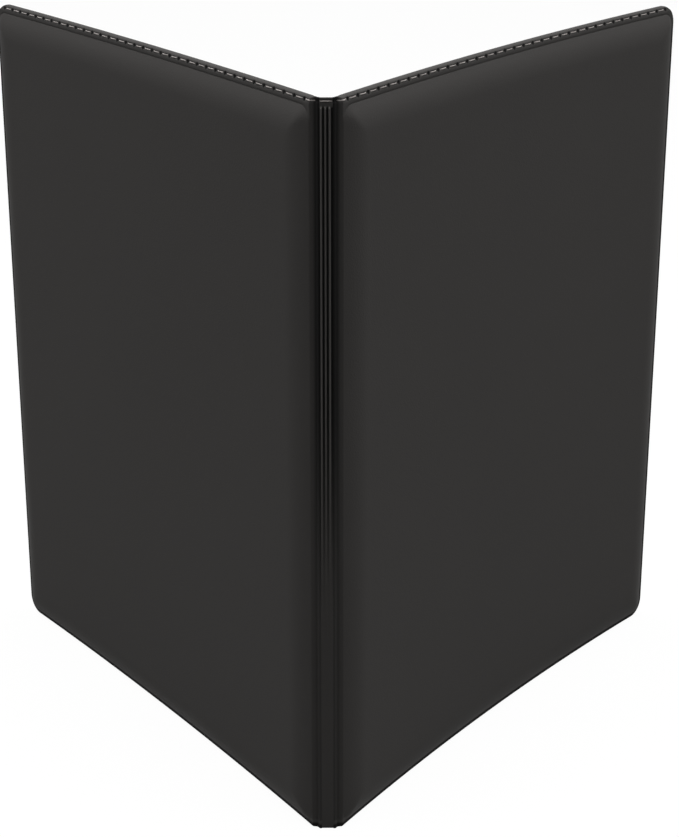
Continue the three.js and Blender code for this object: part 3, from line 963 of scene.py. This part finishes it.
seam_line = cover_height - seam_inset
count = int((cover_width - 4 - stitch_first) / stitch_pitch)
last = stitch_first + count * stitch_pitch
for name, side, bow, opening, body in (
        ("front_top_thread", 1, front_bow, front_opening, "front_cover"),
        ("back_top_thread", -1, back_bow, back_opening, "back_cover")):
    joined(name, [
        stitch_row((hinge_stitch_start, seam_line), (stitch_first, seam_line), 1,
                   lambda u, v: padded_level(max(u, 0), v, 0), True, stitch_first - 1.0),
        stitch_row((stitch_first, seam_line), (last, seam_line), count,
                   lambda u, v: padded_level(u, seam_line, 0), True, stitch_pitch - needle_gap),
        stitch_row((stitch_first, seam_line - inner_seam_drop), (last, seam_line - inner_seam_drop), count,
                   lambda u, v: lining_level(u, v) - lining_thickness / 2, False, stitch_pitch - needle_gap),
    ], side, bow, opening, body)

spine_thread = one_stitch(spine_stitch)
spine_thread.name = spine_thread.data.name = "spine_top_thread"
spine_thread.data.transform(Matrix.Translation((0, spine_level - skin_level + 0.2, seam_line)))
spine_thread.data.transform(Matrix.Scale(0.001, 4))
spine_thread.data.materials.append(thread_yarn)
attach(spine_thread, "spine")


def on_pocket(u, v):
    return pocket_level(u, v) - pocket_thickness / 2


def pocket_row(start, end, level):
    """Shorter stitches on the inside, between two points of a pocket."""
    way = (Vector(end) - Vector(start)).length
    count = max(1, round(way / 4))
    return stitch_row(start, end, count, level, False, way / count - 0.7)


mouth_seam_drop = 6.5
upright_seam_gap = 3  # between the end of an upright seam and the mouth
pocket_spine_seam = 15.5
pocket_foot_seam = 3
mouth_seam_start, mouth_seam_end = 17, 256
foot_seam_start, foot_seam_end = 16, 251
back_mouth_seam = back_mouth - mouth_seam_drop
notch_seam = notch_radius + 2.5  # the seam of the mouth stops this far from the middle of the notch
joined("front_pocket_thread", [
    pocket_row((mouth_seam_start, front_mouth(mouth_seam_start) - mouth_seam_drop),
               (mouth_seam_end, front_mouth(mouth_seam_end) - mouth_seam_drop), on_pocket),
    pocket_row((pocket_spine_seam, pocket_foot_seam),
               (pocket_spine_seam, front_mouth_at_spine - upright_seam_gap), on_pocket),
    pocket_row((foot_seam_start, pocket_foot_seam), (foot_seam_end, pocket_foot_seam), on_pocket),
], 1, front_bow, front_opening, "front_cover")
joined("back_pocket_thread", [
    pocket_row((mouth_seam_start, back_mouth_seam), (notch_middle - notch_seam, back_mouth_seam), on_pocket),
    pocket_row((notch_middle + notch_seam, back_mouth_seam), (mouth_seam_end, back_mouth_seam), on_pocket),
    pocket_row((pocket_spine_seam, pocket_foot_seam),
               (pocket_spine_seam, back_mouth - upright_seam_gap), on_pocket),
    pocket_row((foot_seam_start, pocket_foot_seam), (foot_seam_end, pocket_foot_seam), on_pocket),
], -1, back_bow, back_opening, "back_cover")

card_seam_inset = 1.2
for name, top, base in (("tall_card_pocket_thread", tall_card_top, tall_card_base),
                        ("short_card_pocket_thread", short_card_top, short_card_base)):
    def on_card(u, v):
        return card_pocket_level(base, u, v) - pocket_thickness / 2

    left, right = card_left + card_seam_inset, card_right - card_seam_inset
    foot = card_foot + card_seam_inset
    joined(name, [
        pocket_row((left, foot), (left, top - 1), on_card),
        pocket_row((right, foot), (right, top - 1), on_card),
        pocket_row((left, foot), (right, foot), on_card),
    ], 1, front_bow, front_opening, "front_cover")
